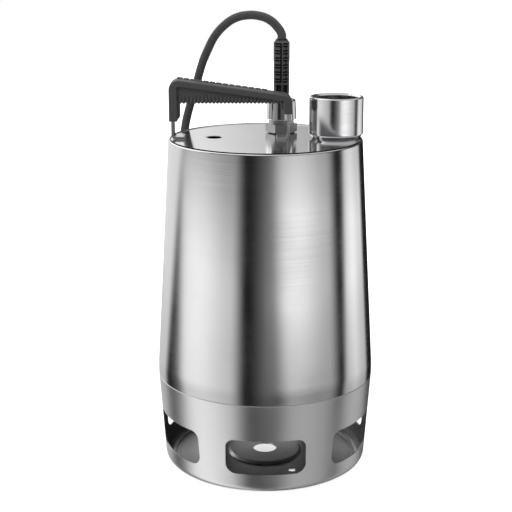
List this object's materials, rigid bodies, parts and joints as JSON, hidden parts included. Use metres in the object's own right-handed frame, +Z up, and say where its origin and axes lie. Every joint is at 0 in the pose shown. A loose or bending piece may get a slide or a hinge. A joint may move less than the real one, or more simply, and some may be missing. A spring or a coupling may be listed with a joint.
{
  "type": "submersible sump pump",
  "caption": "Submersible drainage pump: tapered steel sleeve on a windowed strainer, vortex impeller and motor inside, threaded discharge on top, handle and coiled cable.",
  "frame": {"origin": "middle of the foot ring's underside, on the pump's axis, at floor level", "axes": "+Z up along the pump's axis, +X towards the discharge port, -Y to the front"},
  "size_m": [0.216, 0.4234, 0.4486],
  "materials": {
    "sleeve_steel": "satin brushed stainless",
    "strainer_steel": "fine satin stainless",
    "polished_steel": "polished stainless",
    "grip_plastic": "fine moulded matt",
    "cable_rubber": "smooth matt",
    "boot_rubber": "matt",
    "seal_rubber": "matt",
    "cast_metal": "machined casting",
    "bearing_steel": "ground",
    "laminations": "stacked sheet",
    "winding_copper": "enamelled copper wire",
    "rotor_aluminium": "die cast",
    "seal_ceramic": "lapped",
    "seal_carbon": "lapped",
    "wire_plastic": "smooth",
    "capacitor_can": "drawn",
    "black_plastic": "matt",
    "pin_brass": "nickel plated"
  },
  "bodies": {
    "pump": {"outer_sleeve": "sleeve_steel", "top_plate": "polished_steel", "discharge_socket": "polished_steel", "handle_strap": "polished_steel", "handle_grip": "grip_plastic", "vent_seat": "polished_steel", "connector_seal": "seal_rubber", "connector_body": "polished_steel", "union_nut": "polished_steel", "cable_boot": "boot_rubber", "connector_well": "strainer_steel", "motor_can": "strainer_steel", "motor_cover": "strainer_steel", "terminal_block": "black_plastic", "lead_wires": "wire_plastic", "capacitor": "capacitor_can", "upper_shield": "cast_metal", "upper_bearing_outer": "bearing_steel", "stator_core": "laminations", "stator_windings": "winding_copper", "bearing_plate": "cast_metal", "lower_bearing_outer": "bearing_steel", "bracket": "cast_metal", "bracket_o_ring": "seal_rubber", "oil_screw": "bearing_steel", "oil_screw_gasket": "winding_copper", "seal_seat": "seal_ceramic", "pump_casing": "strainer_steel", "casing_o_ring": "seal_rubber", "casing_screws": "bearing_steel", "cable_drop": "cable_rubber", "cable_coil": "cable_rubber", "cable_tail": "cable_rubber", "coil_ties": "black_plastic", "plug_body": "black_plastic", "plug_pins": "pin_brass"},
    "rotor": {"rotor_shaft": "bearing_steel", "rotor_core": "laminations", "rotor_end_rings": "rotor_aluminium", "upper_bearing_inner": "bearing_steel", "lower_bearing_inner": "bearing_steel", "seal_ring": "seal_carbon", "seal_spring": "bearing_steel", "seal_collar": "bearing_steel", "impeller": "strainer_steel", "impeller_washer": "bearing_steel", "impeller_nut": "bearing_steel"},
    "upper_ball_set": {"upper_bearing_balls": "bearing_steel"},
    "lower_ball_set": {"lower_bearing_balls": "bearing_steel"},
    "strainer": {"strainer_basket": "strainer_steel", "base_plate": "strainer_steel"},
    "vent_float": {"vent_ball": "seal_rubber"}
  },
  "joints": [
    {"name": "rotor_spin", "type": "hinge", "parent": "pump", "child": "rotor", "pos_m": [0, 0, 0.15], "axis": [0, 0, 1], "continuous": true},
    {"name": "upper_ball_orbit", "type": "hinge", "parent": "pump", "child": "upper_ball_set", "pos_m": [0, 0, 0.255], "axis": [0, 0, 1], "continuous": true},
    {"name": "lower_ball_orbit", "type": "hinge", "parent": "pump", "child": "lower_ball_set", "pos_m": [0, 0, 0.1635], "axis": [0, 0, 1], "continuous": true},
    {"name": "strainer_pull", "type": "slide", "parent": "pump", "child": "strainer", "axis": [0, 0, -1], "range_m": [0, 0.1]},
    {"name": "vent_lift", "type": "slide", "parent": "pump", "child": "vent_float", "axis": [0, 0, 1], "range_m": [0, 0.0025]}
  ],
  "couplings": [
    {"joint": "upper_ball_orbit", "follows": "rotor_spin", "ratio": 0.3821},
    {"joint": "lower_ball_orbit", "follows": "rotor_spin", "ratio": 0.3974}
  ]
}
